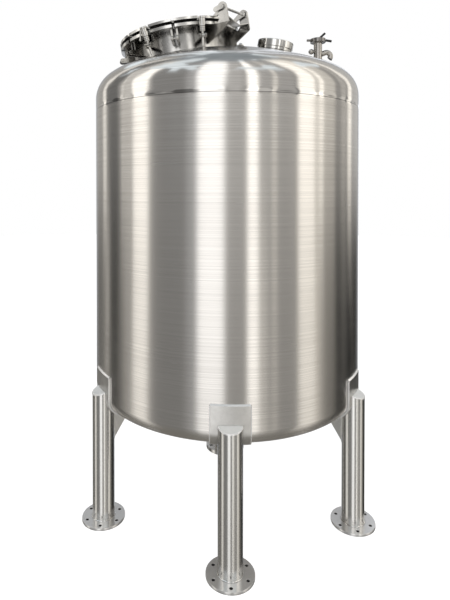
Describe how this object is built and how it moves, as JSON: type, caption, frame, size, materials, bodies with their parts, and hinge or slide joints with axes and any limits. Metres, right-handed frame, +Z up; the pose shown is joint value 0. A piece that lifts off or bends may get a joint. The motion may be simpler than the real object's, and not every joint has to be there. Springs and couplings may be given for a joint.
{
  "type": "vertical storage tank",
  "caption": "Upright round steel storage tank with dished ends on tubular legs, a tilted hinged manway with swing bolts, small top nozzles and a flanged bottom drain.",
  "frame": {"origin": "on the floor, on the tank's vertical axis", "axes": "+Z up along the tank's axis, -Y towards the front leg, +X to the right as seen from the front"},
  "size_m": [1.3656, 1.5464, 2.4626],
  "materials": {
    "brushed_steel": "brushed stainless",
    "polished_steel": "polished stainless",
    "gasket_rubber": "matt black",
    "black_steel": "black"
  },
  "bodies": {
    "tank": {"bottom_head": "brushed_steel", "foot_plate_back": "brushed_steel", "foot_plate_front": "brushed_steel", "foot_plate_left": "brushed_steel", "foot_plate_right": "brushed_steel", "hinge_bracket": "brushed_steel", "leg_gusset_back": "brushed_steel", "leg_gusset_front": "brushed_steel", "leg_gusset_left": "brushed_steel", "leg_gusset_right": "brushed_steel", "leg_pad_back": "brushed_steel", "leg_pad_front": "brushed_steel", "leg_pad_left": "brushed_steel", "leg_pad_right": "brushed_steel", "leg_tube_back": "brushed_steel", "leg_tube_front": "brushed_steel", "leg_tube_left": "brushed_steel", "leg_tube_right": "brushed_steel", "manway_flange": "brushed_steel", "manway_gasket": "gasket_rubber", "manway_neck": "brushed_steel", "outlet_flange": "brushed_steel", "outlet_pipe": "brushed_steel", "shell_plate_1": "brushed_steel", "shell_plate_2": "brushed_steel", "shell_plate_3": "brushed_steel", "shell_plate_4": "brushed_steel", "shell_plate_5": "brushed_steel", "shell_plate_6": "brushed_steel", "top_head": "brushed_steel", "union_cap": "polished_steel", "union_liner": "brushed_steel", "vent_clamp": "brushed_steel", "vent_pipe": "brushed_steel", "vent_wing_nut": "black_steel"},
    "lid": {"manway_lid": "brushed_steel", "hinge_pin": "polished_steel"},
    "swing_bolt_1": {"swing_bolt_1": "polished_steel"},
    "swing_bolt_2": {"swing_bolt_2": "polished_steel"},
    "swing_bolt_3": {"swing_bolt_3": "polished_steel"},
    "swing_bolt_4": {"swing_bolt_4": "polished_steel"},
    "swing_bolt_5": {"swing_bolt_5": "polished_steel"},
    "swing_bolt_6": {"swing_bolt_6": "polished_steel"}
  },
  "joints": [
    {"name": "lid_hinge", "type": "hinge", "parent": "tank", "child": "lid", "pos_m": [0.03299, -0.17906, 2.42998], "axis": [0.5676, 0.8197, 0.0769], "range_deg": [0, 100]},
    {"name": "swing_bolt_1_pivot", "type": "hinge", "parent": "tank", "child": "swing_bolt_1", "pos_m": [-0.11675, -0.27968, 2.28161], "axis": [0.9214, 0.3634, 0.138], "range_deg": [0, 78]},
    {"name": "swing_bolt_2_pivot", "type": "hinge", "parent": "tank", "child": "swing_bolt_2", "pos_m": [-0.37528, -0.26739, 2.24134], "axis": [0.882, -0.4491, 0.1429], "range_deg": [-3, 75]},
    {"name": "swing_bolt_3_pivot", "type": "hinge", "parent": "tank", "child": "swing_bolt_3", "pos_m": [-0.4992, 0.19417, 2.21585], "axis": [-0.5355, -0.8415, -0.0716], "range_deg": [0, 78]},
    {"name": "swing_bolt_4_pivot", "type": "hinge", "parent": "tank", "child": "swing_bolt_4", "pos_m": [-0.28259, 0.33801, 2.2475], "axis": [-0.9755, -0.1617, -0.1491], "range_deg": [-7, 71]},
    {"name": "swing_bolt_5_pivot", "type": "hinge", "parent": "tank", "child": "swing_bolt_5", "pos_m": [-0.03234, 0.27159, 2.28722], "axis": [-0.77, 0.6251, -0.1279], "range_deg": [0, 78]},
    {"name": "swing_bolt_6_pivot", "type": "hinge", "parent": "tank", "child": "swing_bolt_6", "pos_m": [0.05126, 0.168, 2.3016], "axis": [-0.4515, 0.8885, -0.0821], "range_deg": [-31, 47]}
  ]
}
